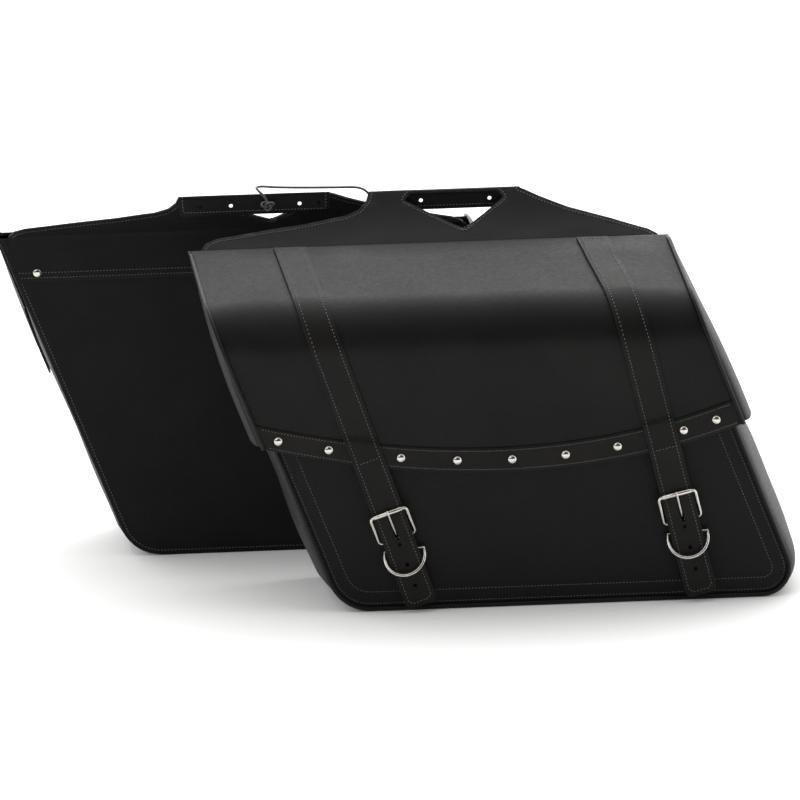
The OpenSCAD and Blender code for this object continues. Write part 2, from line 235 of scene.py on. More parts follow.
# %% Leather
# Pigmented cowhide: pebbles about 1 mm across, soft rolls of 60 mm from the hide's own slackness, and a
# satin topcoat whose gloss varies a little over the fine creases.
def leather(name, dark, light, roughness, grain_mm=1.1, grain_depth=0.10, coat=0.02, roll_depth=0.7):
    material, tree, shader = new_material(name)
    place = add_node(tree, "ShaderNodeTexCoord")
    point = (place, "Object")
    pebbles = add_node(tree, "ShaderNodeTexVoronoi", {"feature": "SMOOTH_F1"}, Vector=point,
                       Scale=1000 / grain_mm, Smoothness=0.6)
    creases = add_node(tree, "ShaderNodeTexNoise", None, Vector=point, Scale=1000 / 4.5, Detail=5.0,
                       Roughness=0.6)
    rolls = add_node(tree, "ShaderNodeTexNoise", None, Vector=point, Scale=1000 / 60, Detail=2.0)
    colour = ramp(tree, (rolls, "Fac"), 0.35, 0.7, linear(dark), linear(light))
    tree.links.new(colour[0].outputs[colour[1]], shader.inputs["Base Color"])
    rough = add_node(tree, "ShaderNodeMapRange", None, _0=(creases, "Fac"), _1=0.3, _2=0.75,
                     _3=roughness - 0.05, _4=roughness + 0.08)
    tree.links.new(rough.outputs[0], shader.inputs["Roughness"])
    height = add_node(tree, "ShaderNodeMath", {"operation": "MULTIPLY_ADD"}, _0=(creases, "Fac"), _1=0.8,
                      _2=(pebbles, "Distance"))
    soft = add_node(tree, "ShaderNodeBump", None, Strength=0.5, Distance=roll_depth * MM,
                    Height=(rolls, "Fac"))
    bump = add_node(tree, "ShaderNodeBump", None, Strength=0.55, Distance=grain_depth * MM * 2,
                    Height=(height, 0), Normal=(soft, "Normal"))
    tree.links.new(bump.outputs["Normal"], shader.inputs["Normal"])
    shader.inputs["Specular IOR Level"].default_value = 0.16
    shader.inputs["Coat Weight"].default_value = coat
    shader.inputs["Coat Roughness"].default_value = 0.28
    return material


lid_leather = leather("satin_cowhide", "#070606", "#0d0b0a", 0.5)
body_leather = leather("satin_cowhide_body", "#060606", "#0b0a0a", 0.52)
matte_leather = leather("matte_cowhide_back", "#0a0a0a", "#101010", 0.62, coat=0.0)
trim_leather = leather("trim_cowhide", "#080706", "#110f0d", 0.5)
# The piping is the same leather, glossier; its lighter colour is a painted highlight along the roll.
piping_leather_painted_highlight = leather("rolled_piping", "#100f0f", "#1a1817", 0.36, grain_mm=0.8, roll_depth=0.1)


# %% Thread, lining, board and lace
# Bonded nylon thread is black with a faint shine along each stitch. The stitches' grey colour is painted
# sheen, laid on top of the real sheen.
def thread(name, colour, roughness):
    material, tree, shader = new_material(name)
    place = add_node(tree, "ShaderNodeTexCoord")
    fibre = add_node(tree, "ShaderNodeTexNoise", None, Vector=(place, "Object"), Scale=1000 / 0.4,
                     Detail=2.0)
    tone = ramp(tree, (fibre, "Fac"), 0.3, 0.7, linear(colour), linear("#4a4947"))
    tree.links.new(tone[0].outputs[tone[1]], shader.inputs["Base Color"])
    shader.inputs["Roughness"].default_value = roughness
    shader.inputs["Sheen Weight"].default_value = 0.3
    return material


# The grey base colour is painted sheen: the real thread is black.
black_thread_painted_sheen = thread("bonded_nylon_thread", "#303030", 0.45)
lace_cord = thread("waxed_lace", "#0d0c0c", 0.42)


# The lining is a plain-woven polyester: threads about 0.6 mm apart, dull grey-black.
wave_period = 3.14 / 6.283  # a wave texture of scale 1 has two bands a turn


def woven(name, dark, light, thread_mm):
    material, tree, shader = new_material(name)
    place = add_node(tree, "ShaderNodeTexCoord")
    bands = []
    for axis in ("X", "Z"):
        bands.append(add_node(tree, "ShaderNodeTexWave", {"bands_direction": axis},
                              Vector=(place, "Object"), Scale=1000 / thread_mm * wave_period,
                              Distortion=0.4))
    cloth = add_node(tree, "ShaderNodeMath", {"operation": "MULTIPLY"}, _0=(bands[0], "Fac"),
                     _1=(bands[1], "Fac"))
    tone = ramp(tree, (cloth, 0), 0.0, 0.8, linear(dark), linear(light))
    tree.links.new(tone[0].outputs[tone[1]], shader.inputs["Base Color"])
    bump = add_node(tree, "ShaderNodeBump", None, Strength=0.5, Distance=0.2 * MM, Height=(cloth, 0))
    tree.links.new(bump.outputs["Normal"], shader.inputs["Normal"])
    shader.inputs["Roughness"].default_value = 0.8
    return material


lining = woven("polyester_lining", "#141414", "#262626", 1.2)
fibreboard = woven("fibreboard", "#1a1817", "#24211f", 2.0)


# %% Nickel plate
# Die-cast and wire fittings with bright nickel plate: slightly warm, mirror-like, with a fine haze of
# handling marks.
def nickel(name, colour, roughness):
    material, tree, shader = new_material(name)
    place = add_node(tree, "ShaderNodeTexCoord")
    haze = add_node(tree, "ShaderNodeTexNoise", None, Vector=(place, "Object"), Scale=1000 / 3,
                    Detail=4.0)
    rough = add_node(tree, "ShaderNodeMapRange", None, _0=(haze, "Fac"), _1=0.3, _2=0.75,
                     _3=roughness, _4=roughness + 0.1)
    tree.links.new(rough.outputs[0], shader.inputs["Roughness"])
    tone = ramp(tree, (haze, "Fac"), 0.35, 0.7, linear(colour), linear("#b9b4aa"))
    tree.links.new(tone[0].outputs[tone[1]], shader.inputs["Base Color"])
    shader.inputs["Metallic"].default_value = 1.0
    return material


bright_nickel = nickel("bright_nickel_plate", "#d2cfc8", 0.12)

# %% Floor
def seamless_floor():
    bm = bmesh.new()
    bmesh.ops.create_grid(bm, x_segments=2, y_segments=2, size=12.0)
    mesh = bpy.data.meshes.new("floor")
    bm.to_mesh(mesh)
    bm.free()
    floor = bpy.data.objects.new("floor", mesh)
    bpy.context.scene.collection.objects.link(floor)
    floor.location.z = -0.0004
    material, tree, shader = new_material("white_paper")
    shader.inputs["Base Color"].default_value = linear("#f6f6f5")
    shader.inputs["Roughness"].default_value = 0.9
    mesh.materials.append(material)


seamless_floor()

# %% [markdown]
# ## How a leather piece is made
# A sewn leather piece is a flat sheet before it is bent, so each one starts as a grid, and a function of
# the sheet's own two coordinates bends it into place. Solidify gives it the leather's thickness, and a
# small bevel rounds its cut edges. Because the same function says where any point of the sheet lies, the
# stitches are laid on it along plain lines of the flat sheet.

# %% Making a sheet
def finish_piece(bm, name, side, materials, body=None):
    """Puts a piece drawn in a bag's millimetres in the row frame and rides it on its body."""
    if side is not None:
        bm.transform(bag_to_world(side))
        if side == "right":
            bmesh.ops.reverse_faces(bm, faces=bm.faces)
    for face in bm.faces:
        face.smooth = True
    mesh = bpy.data.meshes.new(name)
    bm.to_mesh(mesh)
    bm.free()
    for material in materials:
        mesh.materials.append(material)
    piece = bpy.data.objects.new(name, mesh)
    bpy.context.scene.collection.objects.link(piece)
    if body:
        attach(piece, body)
    return piece


def bend_grid(columns, rows, surface, outward):
    """A grid bent by surface(u, v), both 0 to 1. outward is a rough direction its faces should face."""
    bm = bmesh.new()
    bmesh.ops.create_grid(bm, x_segments=columns, y_segments=rows, size=0.5)
    for vert in bm.verts:
        vert.co = surface(vert.co.x + 0.5, vert.co.y + 0.5)
    bm.normal_update()
    total = sum((face.normal * face.calc_area() for face in bm.faces), Vector())
    if total.dot(Vector(outward)) < 0:
        bmesh.ops.reverse_faces(bm, faces=bm.faces)
    return bm


def thicken(piece, thickness, edge=0.5, inner_material=0):
    solid = piece.modifiers.new("thickness", "SOLIDIFY")
    solid.thickness = thickness * MM
    solid.offset = -1.0
    solid.material_offset = inner_material
    rim = piece.modifiers.new("cut_edges", "BEVEL")
    rim.width = edge * MM
    rim.segments = 2
    rim.limit_method = "ANGLE"
    rim.angle_limit = math.radians(50)
    return piece


def tube(points, radius, closed=False):
    """A round bead or wire along points, made by a curve's own bevel and turned to a mesh."""
    data = bpy.data.curves.new("wire", "CURVE")
    data.dimensions = "3D"
    data.bevel_depth = radius
    data.bevel_resolution = 3
    data.use_fill_caps = True
    line = data.splines.new("POLY")
    line.points.add(len(points) - 1)
    for i, p in enumerate(points):
        line.points[i].co = (*p, 1)
    line.use_cyclic_u = closed
    holder = bpy.data.objects.new("wire", data)
    mesh = bpy.data.meshes.new_from_object(holder)
    bm = bmesh.new()
    bm.from_mesh(mesh)
    bmesh.ops.remove_doubles(bm, verts=bm.verts, dist=radius * 0.02)
    bpy.data.objects.remove(holder)
    bpy.data.curves.remove(data)
    bpy.data.meshes.remove(mesh)
    return bm


def add_part(whole, part):
    """Adds the bmesh part to the bmesh whole."""
    mesh = bpy.data.meshes.new("part")
    part.to_mesh(mesh)
    part.free()
    whole.from_mesh(mesh)
    bpy.data.meshes.remove(mesh)


# %% Making stitches
stitch_r = 0.6
stitch_fill = 0.66
stitch_lift = 0.12


def stitch_line(bm, where, path, pitch=3.4, flip=False):
    """Stitches along path, points of the flat sheet, on the surface that where(a, b) gives in millimetres."""
    points = [Vector(p) for p in path]
    lengths = [0.0]
    for a, b in zip(points, points[1:]):
        lengths.append(lengths[-1] + (b - a).length)
    count = max(1, int(lengths[-1] / pitch))
    k = 0
    for i in range(count):
        at = (i + 0.5) * lengths[-1] / count
        while k < len(lengths) - 2 and lengths[k + 1] < at:
            k += 1
        run = max(lengths[k + 1] - lengths[k], 1e-9)
        p = points[k].lerp(points[k + 1], (at - lengths[k]) / run)
        along = (points[k + 1] - points[k]).normalized()
        here = where(p.x, p.y)
        ahead = where(p.x + along.x, p.y + along.y) - here
        across = where(p.x - along.y, p.y + along.x) - here
        normal = ahead.cross(across).normalized() * (-1 if flip else 1)
        ahead.normalize()
        turn = Matrix((ahead, normal.cross(ahead), normal)).transposed().to_4x4()
        shape = Matrix.Diagonal((pitch * stitch_fill / 2, stitch_r, stitch_r * 0.8, 1))
        place = Matrix.Translation(here + normal * stitch_lift) @ turn @ shape
        bmesh.ops.create_icosphere(bm, subdivisions=1, radius=1.0, matrix=place)
    return bm


# %% [markdown]
# ## The lid
# The lid is one piece of leather, bent from the back edge over the shoulder and down the front. Its own
# coordinates are a, along the bag, and s, down the sheet from its back edge. The stuffing under it crowns
# the top, and it dips again where it is pulled down to the piping at each end.

# %% The lid's bent surface
back_y, back_z = -5.6, bag_height + 6
top_run = (lid_reach + back_y - shoulder_r * (1 - math.sin(lid_fall))) / math.cos(lid_fall)
shoulder_y = -lid_reach + shoulder_r
shoulder_z = back_z - top_run * math.sin(lid_fall) - shoulder_r * math.cos(lid_fall)
turn_angle = math.pi / 2 - lid_fall
shoulder_run = shoulder_r * turn_angle
front_start = top_run + shoulder_run
lid_length = bag_length + 2 * lid_overhang


def smooth_step(low, high, value):
    t = min(max((value - low) / (high - low), 0.0), 1.0)
    return t * t * (3 - 2 * t)


def lid_profile(s):
    """Y, Z and the outward normal of the lid's outer face, s millimetres down from its back edge."""
    if s < top_run:
        y = back_y - s * math.cos(lid_fall)
        return y, back_z - s * math.sin(lid_fall), -math.sin(lid_fall), math.cos(lid_fall)
    if s < front_start:
        angle = math.pi / 2 + lid_fall + (s - top_run) / shoulder_r
        ny, nz = math.cos(angle), math.sin(angle)
        return shoulder_y + shoulder_r * ny, shoulder_z + shoulder_r * nz, ny, nz
    return -lid_reach, shoulder_z - (s - front_start), -1.0, 0.0


def lid_edge(a):
    u = a / lid_length
    return lid_edge_z + lid_edge_rise * (u - 0.5) - lid_sag * (1 - (2 * u - 1) ** 2)


def lid_end_s(a):
    return front_start + shoulder_z - lid_edge(a)


def leather_wave(x, y, z, reach=70.0):
    return noise.noise(Vector((x, y, z)) / reach)


def lid_crown(a, s):
    """How far the stuffed lid stands off its plain bent shape."""
    from_end = min(a, lid_length - a)
    rise = 1 - math.exp(-((max(from_end - 3, 0) / 30) ** 2))
    over = smooth_step(-10, 45, s) * (1 - smooth_step(front_start - 5, front_start + 70, s))
    dip = 2.6 * math.exp(-(((a - 52) / 34) ** 2 + ((s - front_start + 30) / 42) ** 2))
    dip += 2.0 * math.exp(-(((a - lid_length + 60) / 40) ** 2 + ((s - 50) / 40) ** 2))
    roll = 1.4 * leather_wave(a, s, 0, 85) * over * rise
    return 4.2 * rise * over - dip * rise + roll


def lid_point(a, s, off=0.0):
    y, z, ny, nz = lid_profile(s)
    d = off + lid_crown(a, s)
    return Vector((-lean * z - lid_overhang + a, y + ny * d, z + nz * d))


def lid_panel(side):
    def surface(u, v):
        a = lid_length * u
        return lid_point(a, v * lid_end_s(a))
    bm = bend_grid(92, 64, surface, (0, -1, 1))
    piece = finish_piece(bm, f"{side}_lid_leather", side, [lid_leather, lining], f"{side}_lid")
    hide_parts(f"{side}_lid_panel")
    return thicken(piece, panel_wall, inner_material=1)


for side in SIDES:
    lid_panel(side)
lid_depth = lid_end_s(lid_length / 2)
print("lid sheet:", round(lid_length), "mm long,", round(lid_depth), "mm from back to front edge")

# %% [markdown]
# ## Trim band, piping and lid ends
# A band is sewn along the lid's curved lower edge with a row of stitches near each side of it. Rolled
# piping closes the seams between the lid and its ends: a cord wrapped in thin leather. The ends bulge,
# because the bag is stuffed and nothing holds them flat.

# %% Trim band
band_wall = 1.5
band_seam = 3.2
band_below = 0.6


def band_point(a, s):
    return lid_point(a, s, band_wall)


def lid_band(side):
    def surface(u, v):
        a = 1.0 + (lid_length - 2.0) * u
        return band_point(a, lid_end_s(a) + band_below - band_w * v)
    bm = bend_grid(110, 6, surface, (0, -1, 0))
    piece = finish_piece(bm, f"{side}_trim_band", side, [trim_leather], f"{side}_lid")
    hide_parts(f"{side}_lid_band")
    return thicken(piece, band_wall, edge=0.45)


def band_stitches(side):
    bm = bmesh.new()
    for inset in (band_seam, band_w - band_seam):
        path = [(a, lid_end_s(a) + band_below - inset) for a in range(8, int(lid_length) - 6, 6)]
        stitch_line(bm, band_point, path, pitch=3.0, flip=True)
    return finish_piece(bm, f"{side}_band_stitches", side, [black_thread_painted_sheen], f"{side}_lid")


# %% Piping and lid ends
def lid_piping(side):
    merged = bmesh.new()
    for end in (0, 1):
        a = piping_r * 0.9 if end == 0 else lid_length - piping_r * 0.9
        stop = lid_end_s(a) + 1.0
        points = []
        for i in range(61):
            s = stop * i / 60
            tuck = 1.7 * (1 - smooth_step(0, 16, s))
            points.append(lid_point(a, s, piping_r * (0.75 - tuck)))
        add_part(merged, tube(points, piping_r))
    piece = finish_piece(merged, f"{side}_lid_rolled_piping", side, [piping_leather_painted_highlight], f"{side}_lid")
    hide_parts(f"{side}_lid_piping")


lid_wall = 3.0
inner_r = shoulder_r - lid_wall
lid_end_back = -8.0
lid_end_front = -lid_reach + 1.5
end_bulge = 11.0
end_rise = 92.0


def inner_top(y):
    """Height of the lid's underside above Y."""
    if y < shoulder_y:
        reach = min(shoulder_y - y, inner_r - 0.001)
        return shoulder_z + math.sqrt(inner_r ** 2 - reach ** 2)
    return back_z - lid_wall / math.cos(lid_fall) + (y - back_y) * math.tan(lid_fall)


def lid_end_low(y, front_edge_z):
    """The lid end's lower edge: level near the front, rising to the back."""
    t = smooth_step(-95, lid_end_back, y)
    return front_edge_z + 1 + end_rise * t ** 1.3


def lid_end_point(end, u, v):
    front_edge_z = lid_edge(0 if end == 0 else lid_length)
    y = lid_end_front + (lid_end_back - lid_end_front) * (1 - math.cos(u * math.pi / 2))
    low, high = lid_end_low(y, front_edge_z), inner_top(y) + 0.6
    z = low + (high - low) * v
    depth = (y - lid_end_front) / (lid_end_back - lid_end_front)
    swell = math.sin(math.pi * min(max(depth, 0.0), 1.0) ** 0.6) ** 0.8
    bulge = end_bulge * swell * (1 - 0.85 * v ** 3)
    bulge += 0.8 * leather_wave(y, z, end * 50)
    out = lid_overhang - 0.6 + bulge
    x = -lean * z - out if end == 0 else bag_length - lean * z + out
    return Vector((x, y, z))


def lid_ends(side):
    for end, name in ((0, "front"), (1, "rear")):
        bm = bend_grid(26, 22, lambda u, v: lid_end_point(end, u, v), (-1 if end == 0 else 1, 0, 0))
        piece = finish_piece(bm, f"{side}_lid_end_{name}", side, [body_leather, lining], f"{side}_lid")
        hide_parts(f"{side}_lid_ends")
        thicken(piece, 2.2, inner_material=1)


for side in SIDES:
    lid_band(side)
    band_stitches(side)
    lid_piping(side)
    lid_ends(side)

# %% [markdown]
# ## The bag's body
# The gusset is one strip that runs down one end, along the bottom and up the other end. It is sewn to the
# back panel, which is a little longer than the front one, so the ends flare. Between the two seams the
# strip bows outwards. The front panel's seam is piped, and a line of stitches runs inside its edge.

# %% The outline that both panels and the gusset follow
def arc_points(cx, cz, radius, start, end, count):
    return [
        (cx + radius * math.cos(start + (end - start) * i / count),
         cz + radius * math.sin(start + (end - start) * i / count))
        for i in range(count + 1)
    ]


def outline(stand_out, inset, height, steps=14):
    """X and Z down one leaning side, round both bottom corners and up the other side."""
    r1, r2 = corner_obtuse - inset, corner_acute - inset
    left = lambda z: -lean * z - stand_out + inset * slope_gap
    right = lambda z: bag_length - lean * z + stand_out - inset * slope_gap
    first = arc_points(left(inset + r1) + r1 * slope_gap, inset + r1, r1, math.pi + slant,
                       1.5 * math.pi, 12)
    second = arc_points(right(inset + r2) - r2 * slope_gap, inset + r2, r2, 1.5 * math.pi,
                        2 * math.pi + slant, 14)
    points = []
    for start, end in (((left(height), height), first[0]), (first[-1], second[0]),
                       (second[-1], (right(height), height))):
        line = [tuple(Vector(start).lerp(Vector(end), i / steps)) for i in range(steps + 1)]
        points.append(line)
    return points[0][:-1] + first[:-1] + points[1][:-1] + second[:-1] + points[2]


def panel_span(z, stand_out):
    """Left and right ends of a panel at height z, with its rounded bottom corners."""
    left, right = -lean * z - stand_out, bag_length - lean * z + stand_out
    r1, r2 = corner_obtuse, corner_acute
    if z < r1 * (1 - math.sin(slant)):
        centre = -lean * r1 - stand_out + r1 * slope_gap
        left = centre - math.sqrt(max(r1 ** 2 - (r1 - z) ** 2, 0))
    if z < r2 * (1 + math.sin(slant)):
        centre = bag_length - lean * r2 + stand_out - r2 * slope_gap
        right = centre + math.sqrt(max(r2 ** 2 - (r2 - z) ** 2, 0))
    return left, right


# %% Front and back panels
def panel_height(v, height):
    """Rows packed closer near the bottom, where the corners turn."""
    return height * (0.35 * v + 0.65 * v ** 2)


def front_bow(x, z):
    across = (x + lean * z) / bag_length
    up = z / front_height
    stuffed = math.sin(math.pi * min(max(across, 0), 1)) * math.sin(math.pi * min(max(up, 0), 1))
    return 3.0 * stuffed + 0.7 * leather_wave(x, z, 9, 90) * stuffed ** 0.5


def front_point(x, z, off=0.0):
    return Vector((x, -bag_depth - front_bow(x, z) - off, z))


def front_panel(side):
    def surface(u, v):
        z = panel_height(v, front_height)
        left, right = panel_span(z, 0)
        return front_point(left + (right - left) * u, z)
    bm = bend_grid(70, 50, surface, (0, -1, 0))
    piece = finish_piece(bm, f"{side}_front_leather", side, [body_leather, lining], f"{side}_bag")
    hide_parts(f"{side}_front_panel")
    thicken(piece, panel_wall, inner_material=1)


def back_point(x, z):
    return Vector((x, 0.0, z))


def back_panel(side):
    def surface(u, v):
        z = panel_height(v, bag_height)
        left, right = panel_span(z, flare)
        return back_point(left + (right - left) * u, z)
    bm = bend_grid(60, 50, surface, (0, 1, 0))
    piece = finish_piece(bm, f"{side}_back_leather", side, [matte_leather, lining], f"{side}_bag")
    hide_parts(f"{side}_back_panel")
    thicken(piece, panel_wall, inner_material=1)


# %% Gusset and front piping
gusset_bow = 8.0
gusset_wall = 2.4


def gusset(side):
    front_line = outline(0, 0, front_height)
    back_line = outline(flare, 0, bag_height - 5)
    count = len(front_line) - 1

    def surface(u, v):
        k = min(int(u * count + 1e-6), count - 1)
        t = u * count - k
        front = Vector(front_line[k]).lerp(Vector(front_line[k + 1]), t)
        back = Vector(back_line[k]).lerp(Vector(back_line[k + 1]), t)
        p = front.lerp(back, v)
        run = Vector(back_line[k + 1]) - Vector(back_line[k])
        out = Vector((run.y, -run.x)).normalized()
        on_side = 1 - smooth_step(0.35, 0.75, -out.y)
        bow = gusset_bow * math.sin(math.pi * v) ** 0.7 * on_side
        bow *= 1 + 0.5 * leather_wave(p.x, p.y, v * 90)
        p = p + out * bow
        y = -bag_depth + gusset_wall + (bag_depth - 2 * gusset_wall) * v
        return Vector((p.x, y, max(p.y, 0.0)))
    bm = bend_grid(count, 16, surface, (0, 0, -1))
    piece = finish_piece(bm, f"{side}_gusset_leather", side, [body_leather, lining], f"{side}_bag")
    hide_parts(f"{side}_gusset")
    thicken(piece, gusset_wall, inner_material=1)


def front_piping(side):
    inset = piping_r + 0.1
    points = [
        Vector((x, -bag_depth - piping_r * 0.8 - front_bow(x, z) * 0.4, z))
        for x, z in outline(0, inset, front_height - 5)
    ]
    piece = finish_piece(tube(points, piping_r), f"{side}_front_rolled_piping", side, [piping_leather_painted_highlight],
                         f"{side}_bag")
    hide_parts(f"{side}_front_piping")


def panel_stitches(side):
    bm = bmesh.new()
    for inset in (20, 7.5):
        stitch_line(bm, front_point, outline(0, inset, front_height - 30))
    finish_piece(bm, f"{side}_front_stitches", side, [black_thread_painted_sheen], f"{side}_bag")
    bm = bmesh.new()
    stitch_line(bm, back_point, outline(flare, 5, bag_height - 48), pitch=3.6, flip=True)
    finish_piece(bm, f"{side}_back_stitches", side, [black_thread_painted_sheen], f"{side}_bag")


for side in SIDES:
    front_panel(side)
    back_panel(side)
    gusset(side)
    front_piping(side)
    panel_stitches(side)

# %% [markdown]
# ## Cutting a shape with holes
# Straps and the yoke are cut from flat leather, with punched holes and a window. The outline and its holes
# are filled as one flat sheet, cut across in narrow rows so that it can bend, and then bent into place.

# %% A cut flat shape
def cut_shape(outline_points, holes, rows, columns=()):
    """A flat sheet in X and Y with holes, cut at each Y in rows and each X in columns."""
    bm = bmesh.new()
    for loop in [outline_points, *holes]:
        verts = [bm.verts.new((x, y, 0)) for x, y in loop]
        for a, b in zip(verts, verts[1:] + verts[:1]):
            bm.edges.new((a, b))
    bmesh.ops.triangle_fill(bm, edges=bm.edges, use_beauty=True, normal=(0, 0, 1))
    for axis, places in (((0, 1, 0), rows), ((1, 0, 0), columns)):
        for place in places:
            geometry = bm.verts[:] + bm.edges[:] + bm.faces[:]
            bmesh.ops.bisect_plane(bm, geom=geometry, dist=1e-5, plane_co=Vector(axis) * place,
                                   plane_no=axis)
    return bm


def bend_shape(bm, where, outward):
    for vert in bm.verts:
        vert.co = where(vert.co.x, vert.co.y)
    bm.normal_update()
    total = sum((face.normal * face.calc_area() for face in bm.faces), Vector())
    if total.dot(Vector(outward)) < 0:
        bmesh.ops.reverse_faces(bm, faces=bm.faces)
    return bm


def circle_points(cx, cy, radius, count=16):
    turn = 2 * math.pi / count
    return [(cx + radius * math.cos(i * turn), cy + radius * math.sin(i * turn)) for i in range(count)]


def densify(points, step=6.0):
    """The same closed line with extra points, at most step apart."""
    dense = []
    for (x0, y0), (x1, y1) in zip(points, points[1:] + points[:1]):
        parts = max(1, math.ceil(math.hypot(x1 - x0, y1 - y0) / step))
        dense += [(x0 + (x1 - x0) * i / parts, y0 + (y1 - y0) * i / parts) for i in range(parts)]
    return dense


# %% [markdown]
# ## Straps
# Each strap is one piece, sewn to the lid from its back edge to its lower edge and free below. On the
# lid's front it leans with the bag; on the top it runs back. The free end is drawn in the strap's own
# frame, leaning with it, where t counts down the strap from the lid's back edge and w across it.

# %% Where a strap lies
strap_start = 6.0
strap_offset = strap_t + 0.15
strap_back_shift = {"front": 6.0, "rear": 16.0}


def strap_s(which, t):
    """Distance down the lid at t along the strap: the leaning part covers it more slowly."""
    s = strap_start + t
    if s > front_start:
        s = front_start + (s - front_start) * math.cos(strap_slant[which])
    return s


def strap_point(which, w, t, off=strap_offset):
    """w millimetres across the strap and t down it. On the lid's top the strap bends towards the back."""
    angle = strap_slant[which]
    s = strap_s(which, t)
    on_front = smooth_step(front_start - 45, front_start + 8, s)
    shift = strap_back_shift[which] * (1 - smooth_step(-10, front_start + 15, s))
    z = lid_profile(s)[1]
    middle = strap_x[which] - z * math.tan(angle) + lean * z + lid_overhang
    a = middle - shift + w * (1 + on_front * (math.cos(angle) + lean * math.sin(angle) - 1))
    s_here = s - on_front * w * math.sin(angle)
    edge = lid_end_s(a)
    on_band = smooth_step(edge - band_w - 7, edge - band_w + 1, s_here)
    on_band *= 1 - smooth_step(edge - 1, edge + 14, s_here)
    return lid_point(a, s_here, off + band_wall * on_band)


strap_tip_up = 8.5
hole_r = 2.0
hole_pitch = 23.5
slot_low, slot_high = 2, 19  # the prong's slot, above the buckle's heel


def strap_t_at(which, up):
    """t at a height up the strap's own frame, above its origin on the bag's bottom line."""
    drop = shoulder_z - up * math.cos(strap_slant[which])
    return drop / math.cos(strap_slant[which]) + front_start - strap_start


# %% Straps and their stitches
def strap(side, which):
    half = strap_w / 2
    at = lambda up: strap_t_at(which, up)
    end = at(strap_tip_up)
    corner = 7.0
    right_corner = arc_points(half - corner, end - corner, corner, 0, math.pi / 2, 6)
    left_corner = arc_points(-half + corner, end - corner, corner, math.pi / 2, math.pi, 6)
    edge = [(-half, 0), (half, 0)] + right_corner + left_corner
    heel_up = buckle_up[which]
    holes = [circle_points(0, at(heel_up - 5 - hole_pitch * i), hole_r) for i in range(3)]
    low, high = at(heel_up + slot_low), at(heel_up + slot_high)
    holes.append(arc_points(0, high, hole_r, math.pi, 2 * math.pi, 6)
                 + arc_points(0, low, hole_r, 0, math.pi, 6))
    free_from = at(165)
    rows = [i * 4.0 + 2 for i in range(int(free_from / 4))]
    rows += [free_from + i * 11.0 for i in range(1, 14)]
    bm = cut_shape(densify(edge), holes, rows, (-11.0, -5.5, 0.01, 5.5, 11.0))
    where = lambda w, t: strap_point(which, w, t)
    bend_shape(bm, where, (0, -1, 0.2))
    piece = finish_piece(bm, f"{side}_{which}_strap_leather", side, [trim_leather])
    thicken(piece, strap_t, edge=0.6)
    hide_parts(f"{side}_lid_straps", f"{side}_{which}_strap_tail")
    bm = bmesh.new()
    inset = half - 4.3
    tip = end - 5.0
    line = [(-inset, 5), (-inset, tip - 4), (-inset + 4, tip), (inset - 4, tip), (inset, tip - 4),
            (inset, 5)]
    stitch_line(bm, where, line, pitch=3.6, flip=True)
    stitch_line(bm, where, [(inset - 2, 5), (-inset + 2, 5)], pitch=3.6, flip=True)
    edge_up = lid_edge(strap_x[which] + lid_overhang) / math.cos(strap_slant[which])
    cross = at(edge_up + 5)
    stitch_line(bm, where, [(-inset + 2, cross), (inset - 2, cross)], pitch=3.2, flip=True)
    stitches = finish_piece(bm, f"{side}_{which}_strap_stitches", side, [black_thread_painted_sheen])
    return piece, stitches


def strap_to_bag(which, across, out, up):
    """A point in the strap's leaning frame, in the bag's millimetres."""
    angle = strap_slant[which]
    return Vector((
        strap_x[which] + across * math.cos(angle) - up * math.sin(angle),
        out,
        up * math.cos(angle) + across * math.sin(angle),
    ))


for side in SIDES:
    for which in STRAPS:
        for piece in strap(side, which):
            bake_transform(piece)
print("each strap is", round(strap_t_at("front", strap_tip_up)), "mm long")

# %% [markdown]
# ## Buckles and D-rings
# The fittings are bent from round wire, so each is one tube along a line with rounded corners. The
# buckle's front bar carries a loose roller, and the prong is looped round its back bar. The D-ring's straight
# side is held by the same leather loop, and its bow keeps the strap's end.

# %% Wire lines
wire_r = 1.9
frame_half = strap_w / 2 + 1.2 + wire_r
heel_out = -156.4
roller_r = 2.6
roller_out = -lid_reach - 0.1 - strap_t - 0.4 - roller_r
roller_rise = 31.0
ring_rise = -14.0
ring_half = 21.0
ring_leg = 6.0
ring_tilt = math.radians(32)
ring_upright = 0.8  # the share of the strap's lean that the hanging ring takes back
ring_pivot = 8.0  # the point down the ring that it turns about


def round_corners(points, radius, steps=6):
    """A closed line with each of its corners rounded."""
    line = []
    for i, corner in enumerate(points):
        before = (Vector(points[i - 1]) - Vector(corner)).normalized()
        after = (Vector(points[(i + 1) % len(points)]) - Vector(corner)).normalized()
        for k in range(steps + 1):
            t = k / steps
            a, b = Vector(corner) + before * radius, Vector(corner) + after * radius
            line.append(a.lerp(Vector(corner), t).lerp(Vector(corner).lerp(b, t), t))
    return line


def place_in_strap(which, points):
    return [strap_to_bag(which, *p) for p in points]


# %% Frames, rollers, prongs and D-rings
def lathe(profile, matrix, steps=24):
    """Spins (radius, height) points about Z and places the result."""
    bm = bmesh.new()
    verts = [bm.verts.new((max(r, 1e-4), 0, h)) for r, h in profile]
    edges = [bm.edges.new(pair) for pair in zip(verts, verts[1:])]
    if (Vector(profile[0]) - Vector(profile[-1])).length > 1e-6 and profile[0][0] > 0.01:
        edges.append(bm.edges.new((verts[-1], verts[0])))
    bmesh.ops.spin(bm, geom=verts + edges, cent=(0, 0, 0), axis=(0, 0, 1), angle=2 * math.pi,
                   steps=steps, use_merge=True)
    bmesh.ops.remove_doubles(bm, verts=bm.verts, dist=2e-4)
    bmesh.ops.recalc_face_normals(bm, faces=bm.faces)
    bm.transform(matrix)
    return bm


